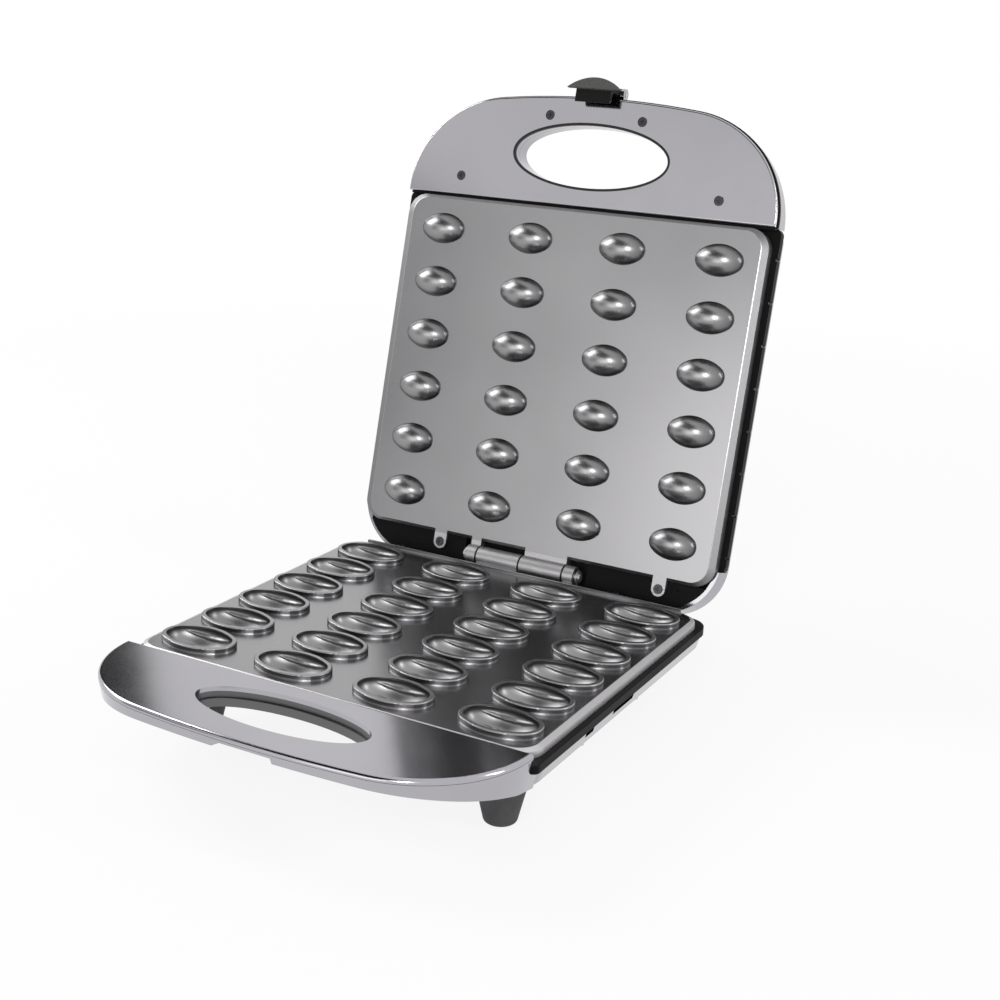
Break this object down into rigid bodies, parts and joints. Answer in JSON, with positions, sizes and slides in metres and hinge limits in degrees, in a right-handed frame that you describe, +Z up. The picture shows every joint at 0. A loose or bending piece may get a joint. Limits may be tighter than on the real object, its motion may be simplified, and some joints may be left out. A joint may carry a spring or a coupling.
{
  "type": "walnut cake maker",
  "caption": "Table-top walnut cake maker standing open: hinged silver halves with cast mould plates, D-shaped carrying handles with finger slots, a clip latch and four tapered feet.",
  "frame": {"origin": "bottom centre of the box round the open machine, on the table under the feet", "axes": "+X along the hinge, to the right seen from the handle; +Y from the base's handle to the hinge; +Z up"},
  "size_m": [0.26, 0.3904, 0.3611],
  "materials": {
    "silver_shell": "gloss silver",
    "black_plastic": "fine black moulding",
    "cast_plate": "satin cast, coated",
    "zinc_steel": "zinc plated",
    "element_steel": "heat tinted tube",
    "reflector_sheet": "bright sheet",
    "foot_rubber": "matte black",
    "ceramic_body": "pale phenolic and ceramic",
    "lead_sleeve": "glass-fibre sleeve",
    "red_lens": "clear red",
    "green_lens": "clear green",
    "lamp_glass": "clear"
  },
  "bodies": {
    "base": {"lower_housing": "silver_shell", "lower_handle_cover": "silver_shell", "lower_frame": "black_plastic", "lower_baking_plate": "cast_plate", "hinge_pin": "zinc_steel", "hinge_pin_clips": "zinc_steel", "foot_front_left": "foot_rubber", "foot_front_right": "foot_rubber", "foot_rear_left": "foot_rubber", "foot_rear_right": "foot_rubber", "foot_screws": "zinc_steel", "lower_ear_screws": "zinc_steel", "lower_handle_screws": "zinc_steel", "lower_frame_screws": "zinc_steel", "lower_heating_element": "element_steel", "lower_element_clamps": "element_steel", "lower_clamp_screws": "zinc_steel", "lower_heat_shield": "reflector_sheet", "lower_shield_screws": "zinc_steel", "lower_thermostat": "ceramic_body", "thermal_fuse": "zinc_steel", "terminal_block": "ceramic_body", "element_leads": "lead_sleeve", "cord_inlet_grommet": "foot_rubber"},
    "lid": {"lid_cover": "silver_shell", "upper_frame": "black_plastic", "upper_handle_liner": "black_plastic", "upper_baking_plate": "cast_plate", "upper_handle_face": "silver_shell", "upper_handle_shell": "silver_shell", "upper_ear_screws": "zinc_steel", "upper_handle_screws": "zinc_steel", "upper_frame_screws": "zinc_steel", "upper_heating_element": "element_steel", "upper_element_clamps": "element_steel", "upper_clamp_screws": "zinc_steel", "upper_heat_shield": "reflector_sheet", "upper_shield_screws": "zinc_steel", "upper_thermostat": "ceramic_body", "power_lamp_lens": "red_lens", "ready_lamp_lens": "green_lens", "neon_lamps": "lamp_glass", "latch_pin": "zinc_steel", "latch_spring": "zinc_steel"},
    "latch": {"latch": "black_plastic"}
  },
  "joints": [
    {"name": "lid_hinge", "type": "hinge", "parent": "base", "child": "lid", "pos_m": [0, 0.10309, 0.059], "axis": [1, 0, 0], "range_deg": [0, 103.9]},
    {"name": "latch_pivot", "type": "hinge", "parent": "lid", "child": "latch", "pos_m": [0, 0.18396, 0.35082], "axis": [-1, 0, 0], "range_deg": [0, 35], "stiffness_Nm_per_rad": 0.03, "springref_deg": -20.05}
  ]
}
